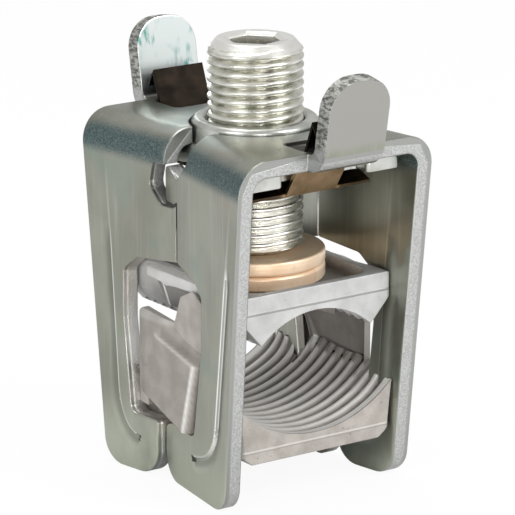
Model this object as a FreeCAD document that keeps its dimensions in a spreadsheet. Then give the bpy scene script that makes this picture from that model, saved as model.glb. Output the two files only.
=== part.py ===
import FreeCAD, Part
import os
import Sketcher
from math import atan2, sin, tan

doc = FreeCAD.newDocument("terminal_clamp")
sizes = doc.addObject("Spreadsheet::Sheet", "sizes")

# Driving dimensions, all in millimetres or degrees
driving = [
    ("wall", 3.0, "sheet of the two brackets"),
    ("cage_height", 60.0, "feet to top face"),
    ("waist_half", 15.8, "outer half width at the seam"),
    ("mouth_half", 19.4, "outer half width at the opening edge"),
    ("half_depth", 23.2, "seam to opening edge at the top"),
    ("foot_half_depth", 17.6, "seam to opening edge at the feet"),
    ("bend_radius", 5.5, "outer radius of the two main bends"),
    ("foot_radius", 4.5, "rounding of the feet"),
    ("seam_gap", 0.3, "gap between the brackets at the seam"),
    ("foot_seam", 4.6, "offset of the seam below the windows"),
    ("knob_centre", 50.8, "height of the puzzle lock"),
    ("knob_half", 3.0, "half height of the knob"),
    ("knob_reach", 4.2, "reach of the knob past the seam"),
    ("neck_half", 1.5, "half height of the neck"),
    ("knob_clear", 0.4, "clearance round the knob"),
    ("lock_reach", 6.6, "depth of the recess for the knob"),
    ("relief_knob_side", 3.4, "cut back of the top seam beside the knob"),
    ("relief_recess_side", 3.0, "cut back of the top seam beside the recess"),
    ("window_low", 10.0, "sill of the windows"),
    ("window_high", 38.2, "top of the windows at the seam"),
    ("window_short", 9.1, "half window on the knob side"),
    ("window_long", 12.9, "half window on the recess side"),
    ("window_taper", 2.4, "narrowing of the window at the sill"),
    ("slot_half", 5.5, "half width of the spring slot"),
    ("slot_margin", 1.6, "opening edge to the spring slot"),
    ("slot_length", 6.6, "length of the spring slot"),
    ("ear_width", 12.0, "width of the ears"),
    ("ear_length", 13.2, "length of the ears above the top face"),
    ("ear_lean", 10.0, "outward lean of the ears in degrees"),
    ("ear_bend", 1.3, "inner bend radius of the ears"),
    ("ear_round", 5.2, "corner radius of the ears"),
    ("screw_radius", 8.0, "M16 clamp screw"),
    ("screw_clear", 0.06, "radial running clearance in the nut"),
    ("screw_top", 74.0, "top of the screw"),
    ("screw_chamfer", 1.6, "lead chamfer of the screw"),
    ("socket_flats", 8.0, "hexagon socket across flats"),
    ("socket_depth", 9.0, "depth of the socket"),
    ("spigot_radius", 4.0, "end spigot of the screw"),
    ("spigot_clear", 0.08, "radial running clearance of the spigot"),
    ("flare_radius", 5.2, "swaged end of the spigot"),
    ("collar_radius", 10.5, "threaded collar of the nut plate"),
    ("collar_clear", 0.4, "gap between collar and brackets"),
    ("collar_proud", 1.0, "collar above the top face"),
    ("collar_lead", 0.6, "edge break of the collar"),
    ("nut_thickness", 3.0, "nut plate"),
    ("nut_inset", 3.5, "opening edge to the end of the nut plate"),
    ("notch_half", 8.4, "half width of the tongue notch"),
    ("notch_margin", 1.3, "end of the tongue notch past the slot's inner end"),
    ("side_clear", 0.35, "clearance of inner pieces to the walls"),
    ("nut_clear", 1.3, "clearance of the nut plate to the walls"),
    ("spring_sheet", 0.5, "spring sheet"),
    ("spring_half_width", 12.0, "half width of the spring base"),
    ("spring_flat", 9.6, "half length of the flat base"),
    ("flap_margin", 0.6, "lower edge of the flap past the slot's inner end"),
    ("spring_drop", 2.4, "drop of the flap below the base"),
    ("tongue_half", 5.0, "half width of the tongues"),
    ("hook_rise", 5.0, "hook above the top face"),
    ("hook_fold", 2.6, "length of the folded tip"),
    ("disc_radius", 11.65, "thrust discs"),
    ("disc_thickness", 2.5, "each thrust disc"),
    ("disc_gap", 0.05, "running gap between the discs"),
    ("disc_edge", 0.35, "edge break of the discs"),
    ("saddle_half_depth", 17.5, "centre to end of the saddles"),
    ("saddle_top", 36.0, "top face of the upper saddle"),
    ("tray_depth", 2.2, "tray for the thrust disc"),
    ("tray_rim", 1.6, "rim in front of and behind the tray"),
    ("arch_radius", 16.2, "arch of the upper saddle"),
    ("arch_rise", 4.2, "tips to apex of the arch"),
    ("saddle_depth_z", 8.3, "top face to tips of the upper saddle"),
    ("shoulder", 4.0, "upright side of the upper saddle"),
    ("tip_half", 11.3, "half width over the tips"),
    ("saddle_half_width", 15.2, "half width of the saddles at the ends"),
    ("prow_half", 14.9, "half width over the guide prows"),
    ("prow_length", 7.5, "half length of the guide prows"),
    ("cup_low", 7.4, "underside of the lower saddle"),
    ("cup_rim", 16.5, "rim of the lower saddle"),
    ("cup_floor", 10.9, "deepest line of the trough"),
    ("cup_radius", 22.0, "trough of the lower saddle"),
    ("cup_chamfer", 2.4, "lower edge chamfer of the lower saddle"),
    ("cheek_inner", 15.3, "inner half width between the cheeks"),
    ("cheek_outer", 17.3, "outer half width over the cheeks"),
    ("cheek_clear", 0.45, "clearance of the cheeks in the windows"),
    ("cheek_low_top", 26.8, "top of the low part of a cheek"),
    ("cheek_high_top", 33.0, "top of the high part of a cheek"),
    ("rib_pitch", 2.5, "pitch of the ribs"),
    ("rib_depth", 0.7, "depth of the grooves between the ribs"),
    ("rib_count", 13.0, "grooves in each saddle"),
]
for row, (alias, value, note) in enumerate(driving, start=1):
    sizes.set("A%d" % row, alias)
    sizes.set("B%d" % row, str(value))
    sizes.set("C%d" % row, note)
    sizes.setAlias("B%d" % row, alias)
doc.recompute()


def full(expression):
    """Put the sheet's name before each alias of an expression."""
    words, word = [], ""
    for sign in expression + " ":
        if sign.isalnum() or sign == "_":
            word += sign
        else:
            words.append("sizes." + word if word in aliases else word)
            words.append(sign)
            word = ""
    return "".join(words).strip()


aliases = set(line[0] for line in driving)


def number(expression):
    result = sizes.evalExpression(full(expression))
    return float(getattr(result, "Value", result))


# Inner half width of the cage at a distance from the seam
def inner_at(distance):
    return "(waist_half - wall + (mouth_half - waist_half) * (%s) / half_depth)" % distance


upright = FreeCAD.Rotation(
    FreeCAD.Vector(0, 1, 0), FreeCAD.Vector(0, 0, 1), FreeCAD.Vector(1, 0, 0), "XYZ"
)


def plane_sketch(body, name, role, lift="0"):
    sketch = body.newObject("Sketcher::SketchObject", name)
    plane = [item for item in body.Origin.OriginFeatures if item.Role == role][0]
    sketch.AttachmentSupport = [(plane, "")]
    sketch.MapMode = "FlatFace"
    sketch.setExpression("AttachmentOffset.Base.z", full(lift))
    return sketch


# Closed outline from corners (across, up, rounding), every size held by a constraint
def outline(sketch, corners):
    vector = FreeCAD.Vector
    points = [vector(number(a), number(b), 0) for a, b, r in corners]
    radii = [number(r) if r else 0.0 for a, b, r in corners]
    count = len(points)
    entry, leave, centre = [], [], []
    for i, point in enumerate(points):
        before = (points[i - 1] - point).normalize()
        after = (points[(i + 1) % count] - point).normalize()
        if not radii[i]:
            entry.append(point)
            leave.append(point)
            centre.append(None)
            continue
        half = before.getAngle(after) / 2.0

        reach = radii[i] / tan(half)
        middle = (before + after).normalize()
        entry.append(point + before * reach)
        leave.append(point + after * reach)
        centre.append(point + middle * (radii[i] / sin(half)))
    lines = [
        Part.LineSegment(leave[i], entry[(i + 1) % count]) for i in range(count)
    ]
    first = sketch.GeometryCount
    sketch.addGeometry(lines, False)
    names, rules = [], []

    def rule(name, *values):
        names.append(name)
        rules.append(Sketcher.Constraint(*values))

    bound = {}
    for i, (a, b, r) in enumerate(corners):
        line_in = first + (i - 1) % count
        line_out = first + i
        if not r:
            rule(None, "Coincident", line_in, 2, line_out, 1)
            rule("across%d" % (first + i), "DistanceX", -1, 1, line_out, 1, points[i].x)
            rule("up%d" % (first + i), "DistanceY", -1, 1, line_out, 1, points[i].y)
        else:
            start = entry[i] - centre[i]
            end = leave[i] - centre[i]
            left = start.cross(end).z > 0
            low, high = (start, end) if left else (end, start)

            circle = Part.Circle(centre[i], vector(0, 0, 1), radii[i])
            arc = sketch.addGeometry(
                Part.ArcOfCircle(circle, atan2(low.y, low.x), atan2(high.y, high.x)),
                False,
            )
            corner = sketch.addGeometry(Part.Point(points[i]), True)
            at_entry, at_leave = (1, 2) if left else (2, 1)
            rule(None, "Tangent", line_in, 2, arc, at_entry)
            rule(None, "Tangent", line_out, 1, arc, at_leave)
            rule(None, "PointOnObject", corner, 1, line_in)
            rule(None, "PointOnObject", corner, 1, line_out)
            rule("across%d" % (first + i), "DistanceX", -1, 1, corner, 1, points[i].x)
            rule("up%d" % (first + i), "DistanceY", -1, 1, corner, 1, points[i].y)
            rule("round%d" % (first + i), "Radius", arc, radii[i])
            bound["round%d" % (first + i)] = r
        bound["across%d" % (first + i)] = a
        bound["up%d" % (first + i)] = b
    base = sketch.ConstraintCount
    sketch.addConstraint(rules)
    for offset, name in enumerate(names):
        if name:
            sketch.renameConstraint(base + offset, name)
            sketch.setExpression("Constraints.%s" % name, full(bound[name]))
    return sketch


def circle(sketch, across, up, radius):
    spot = FreeCAD.Vector(number(across), number(up), 0)
    index = sketch.addGeometry(
        Part.Circle(spot, FreeCAD.Vector(0, 0, 1), number(radius)), False
    )
    for name, kind, size in (
        ("across", "DistanceX", across),
        ("up", "DistanceY", up),
        ("radius", "Radius", radius),
    ):
        if kind == "Radius":
            place = sketch.addConstraint(Sketcher.Constraint(kind, index, number(size)))
        else:
            place = sketch.addConstraint(
                Sketcher.Constraint(kind, -1, 1, index, 3, number(size))
            )
        sketch.renameConstraint(place, name)
        sketch.setExpression("Constraints.%s" % name, full(size))
    return sketch


def pad(body, name, sketch, length, symmetric=False):
    feature = body.newObject("PartDesign::Pad", name)
    feature.Profile = sketch
    feature.setExpression("Length", full(length))
    feature.SideType = "Symmetric" if symmetric else "One side"
    sketch.Visibility = False
    return feature


def pocket(body, name, sketch, length, symmetric=False, flipped=False):
    feature = body.newObject("PartDesign::Pocket", name)
    feature.Profile = sketch
    feature.setExpression("Length", full(length))
    feature.SideType = "Symmetric" if symmetric else "One side"
    feature.Reversed = flipped
    sketch.Visibility = False
    return feature


def revolve(body, name, sketch, kind="PartDesign::Revolution", axis="V_Axis"):
    feature = body.newObject(kind, name)
    feature.Profile = sketch
    feature.ReferenceAxis = (sketch, [axis])
    feature.Angle = 360.0
    return feature


def extrusion(name, sketch, forward, backward="0"):
    feature = doc.addObject("Part::Extrusion", name)
    feature.Base = sketch
    feature.DirMode = "Normal"
    feature.Solid = True
    feature.setExpression("LengthFwd", full(forward))
    feature.setExpression("LengthRev", full(backward))
    return feature


def joined(kind, name, first, second):
    feature = doc.addObject(kind, name)
    if kind == "Part::MultiFuse":
        feature.Shapes = [first, second]
    else:
        feature.Base = first
        feature.Tool = second
    return feature


# Folded U bracket with an ear, a spring slot, half windows and the puzzle lock
# Places along the depth, set from the opening edge
slot_outer = "(half_depth - slot_margin)"
slot_inner = "(%s - slot_length)" % slot_outer
nut_end = "(half_depth - nut_inset)"
notch_end = "(%s + notch_margin)" % slot_inner
flap_end = "(%s + flap_margin)" % slot_inner


def bracket(node, turn):
    swing = FreeCAD.Rotation(FreeCAD.Vector(0, 0, 1), turn)
    short = node.split("_")[0]
    channel = doc.addObject("PartDesign::Body", short + "_channel")
    channel.Placement = FreeCAD.Placement(FreeCAD.Vector(0, 0, 0), swing)
    sections = []
    for tag, distance in (("inner", "-8"), ("mouth", "half_depth + 1")):
        half = "(%s + wall)" % inner_at(distance)
        section = plane_sketch(channel, short + "_" + tag, "XZ_Plane", distance)
        outline(
            section,
            [
                ("-" + half, "-2", None),
                ("-" + half, "cage_height", "bend_radius"),
                (half, "cage_height", "bend_radius"),
                (half, "-2", None),
                (half + " - wall", "-2", None),
                (half + " - wall", "cage_height - wall", "bend_radius - wall"),
                ("wall - " + half, "cage_height - wall", "bend_radius - wall"),
                ("wall - " + half, "-2", None),
            ],
        )
        sections.append(section)
    shell = channel.newObject("PartDesign::AdditiveLoft", short + "_shell")
    shell.Profile = sections[0]
    shell.Sections = [sections[1]]
    shell.Ruled = True

    front_top = "-(half_depth + (half_depth - foot_half_depth) * 2 / cage_height)"
    lift = "cage_height + 2"
    seam = "-seam_gap / 2"
    knob_side = [
        (front_top, lift, None),
        ("-foot_half_depth", "0", "foot_radius"),
        ("foot_seam - seam_gap / 2", "0", "foot_radius"),
        ("foot_seam - seam_gap / 2", "window_low - 0.8", "1.2"),
        ("foot_seam - 2.6", "window_low", "1.2"),
        ("window_taper + 0.7 - window_short", "window_low", "1.4"),
        ("-window_short", "(window_low + window_high) / 2 + 2", "6"),
        ("-window_short", "window_high - 3.8", "1.5"),
        ("2.4 - window_short", "window_high - 1.7", "1.5"),
        (seam, "window_high", None),
        (seam, "knob_centre - neck_half - 0.8", None),
        ("knob_reach - 3.2", "knob_centre - knob_half", "0.5"),
        ("knob_reach", "knob_centre - knob_half", "1.3"),
        ("knob_reach", "knob_centre + knob_half", "0.8"),
        ("knob_reach - 1.2", "knob_centre + knob_half", "0.3"),
        (seam, "knob_centre + neck_half", None),
        ("-relief_knob_side", "knob_centre + neck_half + 3.2", "0.8"),
        ("-relief_knob_side", lift, None),
    ]
    recess_side = [
        (front_top, lift, None),
        ("-foot_half_depth", "0", "foot_radius"),
        ("-foot_seam - seam_gap / 2", "0", "foot_radius"),
        ("-foot_seam - seam_gap / 2", "window_low", "0.8"),
        ("window_taper - 0.7 - window_long", "window_low", "1.4"),
        ("-window_long", "(window_low + window_high) / 2 + 2", "6"),
        ("-window_long", "window_high - 3.6", "1.5"),
        ("3.4 - window_long", "window_high - 0.9", "1.5"),
        (seam, "window_high", None),
        (seam, "knob_centre - knob_half", None),
        ("3.2 - knob_reach", "knob_centre - knob_half - knob_clear", "0.6"),
        ("0.2 - knob_reach", "knob_centre - knob_half - knob_clear", "1.6"),
        ("-lock_reach", "knob_centre - 0.6", "2"),
        ("0.9 - lock_reach", "knob_centre + knob_half + knob_clear", "0.5"),
        ("-relief_recess_side", "knob_centre + knob_half + knob_clear", None),
        ("-relief_recess_side", lift, None),
    ]
    blanks = []
    for tag, corners, near, far in (
        ("knob_side", knob_side, "0", "mouth_half + 4"),
        ("recess_side", recess_side, "mouth_half + 4", "0"),
    ):
        sketch = doc.addObject("Sketcher::SketchObject", short + "_" + tag)
        sketch.Placement = FreeCAD.Placement(
            FreeCAD.Vector(0, 0, 0), swing.multiply(upright)
        )
        outline(sketch, corners)
        blanks.append(extrusion(short + "_" + tag + "_blank", sketch, near, far))
    blank = joined("Part::MultiFuse", short + "_blank", blanks[0], blanks[1])
    folded = joined("Part::Common", short + "_folded", channel, blank)

    ring = doc.addObject("Part::Cylinder", short + "_collar_cut")
    ring.setExpression("Radius", full("collar_radius + collar_clear"))
    ring.setExpression("Height", full("wall + 4"))
    ring.setExpression("Placement.Base.z", full("cage_height - wall - 1"))
    slot = doc.addObject("Sketcher::SketchObject", short + "_slot")
    slot.Placement = FreeCAD.Placement(FreeCAD.Vector(0, 0, 0), swing)
    outline(
        slot,
        [
            ("-slot_half", "-" + slot_outer, "0.6"),
            ("slot_half", "-" + slot_outer, "0.6"),
            ("slot_half", "-" + slot_inner, "1.2"),
            ("-slot_half", "-" + slot_inner, "1.2"),
        ],
    )
    slot_tool = extrusion(short + "_slot_tool", slot, "cage_height + 1")
    opened = joined("Part::Cut", short + "_ringed", folded, ring)
    opened = joined("Part::Cut", short + "_slotted", opened, slot_tool)

    ear = doc.addObject("PartDesign::Body", short + "_ear")
    ear.Placement = FreeCAD.Placement(FreeCAD.Vector(0, 0, 0), swing)
    side = plane_sketch(ear, short + "_ear_side", "YZ_Plane")
    lean_cos = "cos(ear_lean * 1 deg)"
    lean_sin = "sin(ear_lean * 1 deg)"
    root = "(half_depth + ear_bend)"
    outer = "(%s + wall * (%s - (1 - %s) * %s / %s))" % (
        root, lean_cos, lean_sin, lean_sin, lean_cos,
    )
    tip_out = "(%s + ear_length * %s)" % (root, lean_sin)
    tip_up = "(cage_height + ear_length * %s)" % lean_cos
    outline(
        side,
        [
            ("0.8 - half_depth", "cage_height - wall", None),
            ("0.8 - half_depth", "cage_height", None),
            ("-" + root, "cage_height", "ear_bend"),
            ("-" + tip_out, tip_up, None),
            ("-(%s + wall * %s)" % (tip_out, lean_cos), "%s - wall * %s" % (tip_up, lean_sin), None),
            ("-" + outer, "cage_height - wall", "ear_bend + wall"),
        ],
    )
    pad(ear, short + "_ear_strip", side, "ear_width", True)
    doc.recompute()
    strip = ear.Tip
    high = number(tip_up) - number("wall") - 0.5
    corners = []
    for index, edge in enumerate(strip.Shape.Edges, start=1):
        middle = edge.CenterOfMass
        if edge.Length < number("wall") * 1.2 and middle.z > high and abs(middle.x) > 1:
            corners.append("Edge%d" % index)
    rounding = ear.newObject("PartDesign::Fillet", short + "_ear_round")
    rounding.Base = (strip, corners)
    rounding.setExpression("Radius", full("ear_round"))

    whole = joined("Part::MultiFuse", node, opened, ear)
    whole.Label = node
    return whole


front = bracket("front_bracket", 0)
rear = bracket("rear_bracket", 180)

# Nut plate with the threaded collar and the two tongue notches
nut = doc.addObject("PartDesign::Body", "nut_plate")
nut_low = "(cage_height - wall - nut_thickness)"
waist = "(%s - nut_clear)" % inner_at("0")
ends = "(%s - nut_clear)" % inner_at(nut_end)
plan = plane_sketch(nut, "nut_plan", "XY_Plane", nut_low)
outline(
    plan,
    [
        ("notch_half", "-" + nut_end, "0.8"),
        (ends, "-" + nut_end, None),
        (waist, "0", None),
        (ends, nut_end, None),
        ("notch_half", nut_end, "0.8"),
        ("notch_half", notch_end, "0.6"),
        ("-notch_half", notch_end, "0.6"),
        ("-notch_half", nut_end, "0.8"),
        ("-" + ends, nut_end, None),
        ("-" + waist, "0", None),
        ("-" + ends, "-" + nut_end, None),
        ("-notch_half", "-" + nut_end, "0.8"),
        ("-notch_half", "-" + notch_end, "0.6"),
        ("notch_half", "-" + notch_end, "0.6"),
    ],
)
sheet = pad(nut, "nut_sheet", plan, "nut_thickness")
doc.recompute()
sheet_top = number("cage_height - wall")
bore = number("screw_radius")
sides = []
for index, edge in enumerate(sheet.Shape.Edges, start=1):
    middle = edge.CenterOfMass
    if abs(middle.z - sheet_top) < 0.01 and edge.Length > 10 and abs(middle.x) > bore:
        sides.append("Edge%d" % index)
bevel = nut.newObject("PartDesign::Chamfer", "nut_bevel")
bevel.Base = (sheet, sides)
bevel.setExpression("Size", full("bend_radius - wall - nut_clear"))
bore_radius = "(screw_radius + screw_clear)"
collar_top = "(cage_height + collar_proud)"
collar = plane_sketch(nut, "collar_half", "XZ_Plane")
outline(
    collar,
    [
        (bore_radius, nut_low, None),
        ("collar_radius", nut_low, None),
        ("collar_radius", collar_top + " - collar_lead", None),
        ("collar_radius - collar_lead", collar_top, None),
        (bore_radius + " + collar_lead", collar_top, None),
        (bore_radius, collar_top + " - collar_lead", None),
    ],
)
revolve(nut, "collar", collar)
bore = circle(plane_sketch(nut, "bore_plan", "XY_Plane", "cage_height"), "0", "0", bore_radius)
pocket(nut, "nut_bore", bore, "wall + nut_thickness + 1")

# Leaf spring under the nut plate with a hooked tongue at each end
spring = doc.addObject("PartDesign::Body", "spring_clip")
leaf_top = nut_low
leaf = plane_sketch(spring, "leaf_side", "YZ_Plane")
leaf_low = "(%s - spring_drop)" % leaf_top
outline(
    leaf,
    [
        ("-spring_flat", leaf_top, None),
        ("-" + flap_end, leaf_low, None),
        ("-" + flap_end, leaf_low + " - spring_sheet", None),
        ("-spring_flat", leaf_top + " - spring_sheet", None),
        ("spring_flat", leaf_top + " - spring_sheet", None),
        (flap_end, leaf_low + " - spring_sheet", None),
        (flap_end, leaf_low, None),
        ("spring_flat", leaf_top, None),
    ],
)
leaf_pad = pad(spring, "leaf", leaf, "2 * spring_half_width", True)
foot_up = "(%s - spring_drop - spring_sheet)" % leaf_top
edge_out = "(%s - 0.3)" % slot_outer
apex_up = "(cage_height + hook_rise)"
apex_out = "(half_depth - 0.5)"
thick = "(spring_sheet * 1.15)"
tongue = plane_sketch(spring, "tongue_side", "YZ_Plane")
outline(
    tongue,
    [
        ("%s - %s" % (thick, flap_end), foot_up, None),
        ("%s - %s" % (thick, flap_end), foot_up + " + spring_sheet", None),
        ("%s - %s" % (thick, edge_out), "cage_height", None),
        ("-%s" % apex_out, apex_up, None),
        ("-%s - hook_fold * 0.55 - spring_sheet * 0.6" % apex_out, apex_up + " - hook_fold", None),
        ("-%s - hook_fold * 0.55" % apex_out, apex_up + " - hook_fold - spring_sheet", None),
        ("-%s - spring_sheet * 0.45" % apex_out, apex_up + " - spring_sheet * 1.8", None),
        ("-%s" % edge_out, "cage_height", None),
        ("-" + flap_end, foot_up, None),
    ],
)
tongue_pad = pad(spring, "tongue", tongue, "2 * tongue_half", True)
twin = spring.newObject("PartDesign::Mirrored", "tongue_twin")
twin.Originals = [tongue_pad]
mirror = [item for item in spring.Origin.OriginFeatures if item.Role == "XZ_Plane"][0]
twin.MirrorPlane = (mirror, [""])
spring.Tip = twin
hole = circle(
    plane_sketch(spring, "leaf_hole", "XY_Plane", leaf_top + " + 1"),
    "0", "0", "screw_radius + 1.2",
)
pocket(spring, "leaf_opening", hole, "spring_sheet + 2")

# Heights of the stack under the screw
tray_floor = "(saddle_top - tray_depth)"
disc_joint = "(%s + disc_thickness)" % tray_floor
disc_top = "(%s + disc_gap + disc_thickness)" % disc_joint
arch_apex = "(saddle_top - saddle_depth_z + arch_rise)"
flare_high = "(%s - 0.9)" % tray_floor

# Clamp screw with hexagon socket, spigot and swaged end
screw = doc.addObject("PartDesign::Body", "clamp_screw")
half = plane_sketch(screw, "screw_half", "XZ_Plane")
outline(
    half,
    [
        ("0", "screw_top", None),
        ("screw_radius - screw_chamfer", "screw_top", None),
        ("screw_radius", "screw_top - screw_chamfer * 1.2", None),
        ("screw_radius", disc_top + " + 0.8", None),
        ("screw_radius - 0.8", disc_top, None),
        ("spigot_radius", disc_top, None),
        ("spigot_radius", flare_high + " - spigot_clear", None),
        ("flare_radius", flare_high + " - spigot_clear", None),
        ("flare_radius", flare_high + " - spigot_clear - 0.6", None),
        ("spigot_radius", arch_apex + " + 0.1", None),
        ("0", arch_apex + " + 0.1", None),
    ],
)
revolve(screw, "screw_turned", half)
socket = plane_sketch(screw, "socket_plan", "XY_Plane", "screw_top")
reach = "(socket_flats / (2 * cos(30 deg)))"
outline(
    socket,
    [
        ("%s * cos(%d deg)" % (reach, step), "%s * sin(%d deg)" % (reach, step), None)
        for step in range(12, 372, 60)
    ],
)
pocket(screw, "socket", socket, "socket_depth")


# Two thrust discs, the upper one carried by the screw
def thrust_disc(node, low, bore_radius):
    body = doc.addObject("PartDesign::Body", node)
    section = plane_sketch(body, node + "_half", "XZ_Plane")
    outline(
        section,
        [
            (bore_radius, low, None),
            ("disc_radius - disc_edge", low, None),
            ("disc_radius", low + " + disc_edge", None),
            ("disc_radius", low + " + disc_thickness - disc_edge", None),
            ("disc_radius - disc_edge", low + " + disc_thickness", None),
            (bore_radius, low + " + disc_thickness", None),
        ],
    )
    revolve(body, node + "_turned", section)
    return body


lower_disc = thrust_disc("lower_thrust_disc", tray_floor, "spigot_radius + spigot_clear")
upper_disc = thrust_disc("upper_thrust_disc", disc_joint + " + disc_gap", "spigot_radius")


def end_half(distance):
    return "(%s - side_clear)" % inner_at(distance)


# Upper saddle: arched pressure piece with guide prows in the windows
upper_core = doc.addObject("PartDesign::Body", "upper_core")
tips = "(saddle_top - saddle_depth_z)"
face = plane_sketch(upper_core, "upper_face", "XZ_Plane")
outline(
    face,
    [
        ("-saddle_half_width", "saddle_top", "1"),
        ("-saddle_half_width", "saddle_top - shoulder", "1.5"),
        ("-tip_half", tips, "0.3"),
        ("tip_half", tips, "0.3"),
        ("saddle_half_width", "saddle_top - shoulder", "1.5"),
        ("saddle_half_width", "saddle_top", "1"),
    ],
)
pad(upper_core, "upper_block", face, "2 * saddle_half_depth", True)
arch = circle(
    plane_sketch(upper_core, "arch_face", "XZ_Plane"),
    "0", arch_apex + " - arch_radius", "arch_radius",
)
pocket(upper_core, "arch", arch, "2 * saddle_half_depth + 4", True)
tray = plane_sketch(upper_core, "tray_plan", "XY_Plane", "saddle_top")
outline(
    tray,
    [
        ("-(disc_radius + 0.5)", "tray_rim - saddle_half_depth", "3"),
        ("disc_radius + 0.5", "tray_rim - saddle_half_depth", "3"),
        ("disc_radius + 0.5", "saddle_half_depth - tray_rim", "3"),
        ("-(disc_radius + 0.5)", "saddle_half_depth - tray_rim", "3"),
    ],
)
pocket(upper_core, "tray", tray, "tray_depth")
seat = circle(
    plane_sketch(upper_core, "spigot_hole", "XY_Plane", "saddle_top"),
    "0", "0", "spigot_radius + spigot_clear",
)
pocket(upper_core, "spigot_bore", seat, "saddle_depth_z + 2")
flare = circle(
    plane_sketch(upper_core, "flare_hole", "XY_Plane", flare_high),
    "0", "0", "flare_radius + 0.4",
)
pocket(upper_core, "flare_bore", flare, "saddle_depth_z")


# Grooves across a saddle, cut round the axis of its arch or trough
def grooves(body, tag, axis_height, radius, outward):
    sign = "1" if outward else "-1"
    section = plane_sketch(body, tag + "_groove", "YZ_Plane")
    start = "(-(rib_count - 1) / 2 * rib_pitch)"
    deep = "(%s) + %s * ((%s) + rib_depth)" % (axis_height, sign, radius)
    rim = "(%s) + %s * ((%s) - 0.3)" % (axis_height, sign, radius)
    outline(
        section,
        [
            ("%s - rib_pitch * 0.34" % start, rim, None),
            ("%s - rib_pitch * 0.1" % start, deep, None),
            ("%s + rib_pitch * 0.1" % start, deep, None),
            ("%s + rib_pitch * 0.34" % start, rim, None),
        ],
    )
    first = section.GeometryCount
    height = number(axis_height)
    reach = number("2 * rib_pitch")
    section.addGeometry(
        Part.LineSegment(FreeCAD.Vector(-reach, height, 0), FreeCAD.Vector(reach, height, 0)), True
    )
    rows = [
        ("DistanceX", 1, "-2 * rib_pitch"), ("DistanceY", 1, axis_height),
        ("DistanceX", 2, "2 * rib_pitch"), ("DistanceY", 2, axis_height),
    ]
    for step, (kind, end, size) in enumerate(rows):
        place = section.addConstraint(
            Sketcher.Constraint(kind, -1, 1, first, end, number(size))
        )
        section.renameConstraint(place, "axis%d" % step)
        section.setExpression("Constraints.axis%d" % step, full(size))
    cut = revolve(body, tag + "_cut", section, "PartDesign::Groove", "Axis0")
    row = body.newObject("PartDesign::LinearPattern", tag + "_row")
    row.Originals = [cut]
    along = [item for item in body.Origin.OriginFeatures if item.Role == "Y_Axis"][0]
    row.Direction = (along, [""])
    row.Mode = "Spacing"
    row.setExpression("Offset", full("rib_pitch"))
    row.setExpression("Occurrences", full("rib_count"))
    body.Tip = row
    return row


grooves(upper_core, "arch", arch_apex + " - arch_radius", "arch_radius", True)

upper_plan = doc.addObject("Sketcher::SketchObject", "upper_plan")
waist_in = end_half("0")
ends_in = end_half("saddle_half_depth")
prow_root = end_half("prow_length")
outline(
    upper_plan,
    [
        (ends_in, "-saddle_half_depth", "0.8"),
        (prow_root, "-prow_length", None),
        ("prow_half", "0", "0.8"),
        (prow_root, "prow_length", None),
        (ends_in, "saddle_half_depth", "0.8"),
        ("-" + ends_in, "saddle_half_depth", "0.8"),
        ("-" + prow_root, "prow_length", None),
        ("-prow_half", "0", "0.8"),
        ("-" + prow_root, "-prow_length", None),
        ("-" + ends_in, "-saddle_half_depth", "0.8"),
    ],
)
upper_blank = extrusion("upper_blank", upper_plan, "saddle_top + 5")
upper = joined("Part::Common", "upper_saddle", upper_core, upper_blank)
upper.Label = "upper_saddle"

# Lower saddle: ribbed trough with cheeks standing in the windows
lower_core = doc.addObject("PartDesign::Body", "lower_core")
cup = plane_sketch(lower_core, "cup_face", "XZ_Plane")
outline(
    cup,
    [
        ("-saddle_half_width", "cup_rim", "0.15"),
        ("-saddle_half_width", "cup_low + cup_chamfer * 0.75", "1"),
        ("cup_chamfer - saddle_half_width", "cup_low", "1"),
        ("saddle_half_width - cup_chamfer", "cup_low", "1"),
        ("saddle_half_width", "cup_low + cup_chamfer * 0.75", "1"),
        ("saddle_half_width", "cup_rim", "0.15"),
    ],
)
pad(lower_core, "cup_block", cup, "2 * saddle_half_depth", True)
lower_plan = doc.addObject("Sketcher::SketchObject", "lower_plan")
foot_in = end_half("-foot_seam")
outline(
    lower_plan,
    [
        (ends_in, "-saddle_half_depth", "0.8"),
        (foot_in, "-foot_seam - 0.6", "1"),
        (foot_in, "foot_seam + 0.6", "1"),
        (ends_in, "saddle_half_depth", "0.8"),
        ("-" + ends_in, "saddle_half_depth", "0.8"),
        ("-" + foot_in, "foot_seam + 0.6", "1"),
        ("-" + foot_in, "-foot_seam - 0.6", "1"),
        ("-" + ends_in, "-saddle_half_depth", "0.8"),
    ],
)
lower_blank = extrusion("lower_blank", lower_plan, "cup_rim + 5")
trough = joined("Part::Common", "trough_block", lower_core, lower_blank)


def cheek(tag, turn):
    swing = FreeCAD.Rotation(FreeCAD.Vector(0, 0, 1), turn)
    sketch = doc.addObject("Sketcher::SketchObject", tag + "_side")
    sketch.Placement = FreeCAD.Placement(FreeCAD.Vector(0, 0, 0), swing.multiply(upright))
    near = "(cheek_clear - window_short)"
    outline(
        sketch,
        [
            (near, "cheek_high_top", "0.8"),
            (near, "(window_low + window_high) / 2 + 2", "6"),
            (near + " + window_taper + 1.1", "window_low", "0.8"),
            ("window_taper + 3.2 - window_short", "window_low", "1"),
            ("window_short", "window_low + 4.6", "1.5"),
            ("window_short", "cheek_low_top + 1", "1"),
            ("0.4", "cheek_low_top", "1.5"),
            ("2.4 + %s" % near, "cheek_high_top", "0.8"),
        ],
    )
    return extrusion(tag, sketch, "-(waist_half - wall - 3)", "cheek_outer")


left_cheek = cheek("left_cheek", 0)
right_cheek = cheek("right_cheek", 180)
cheeks = joined("Part::MultiFuse", "cheeks", left_cheek, right_cheek)
raw = joined("Part::MultiFuse", "lower_raw", trough, cheeks)

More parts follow.
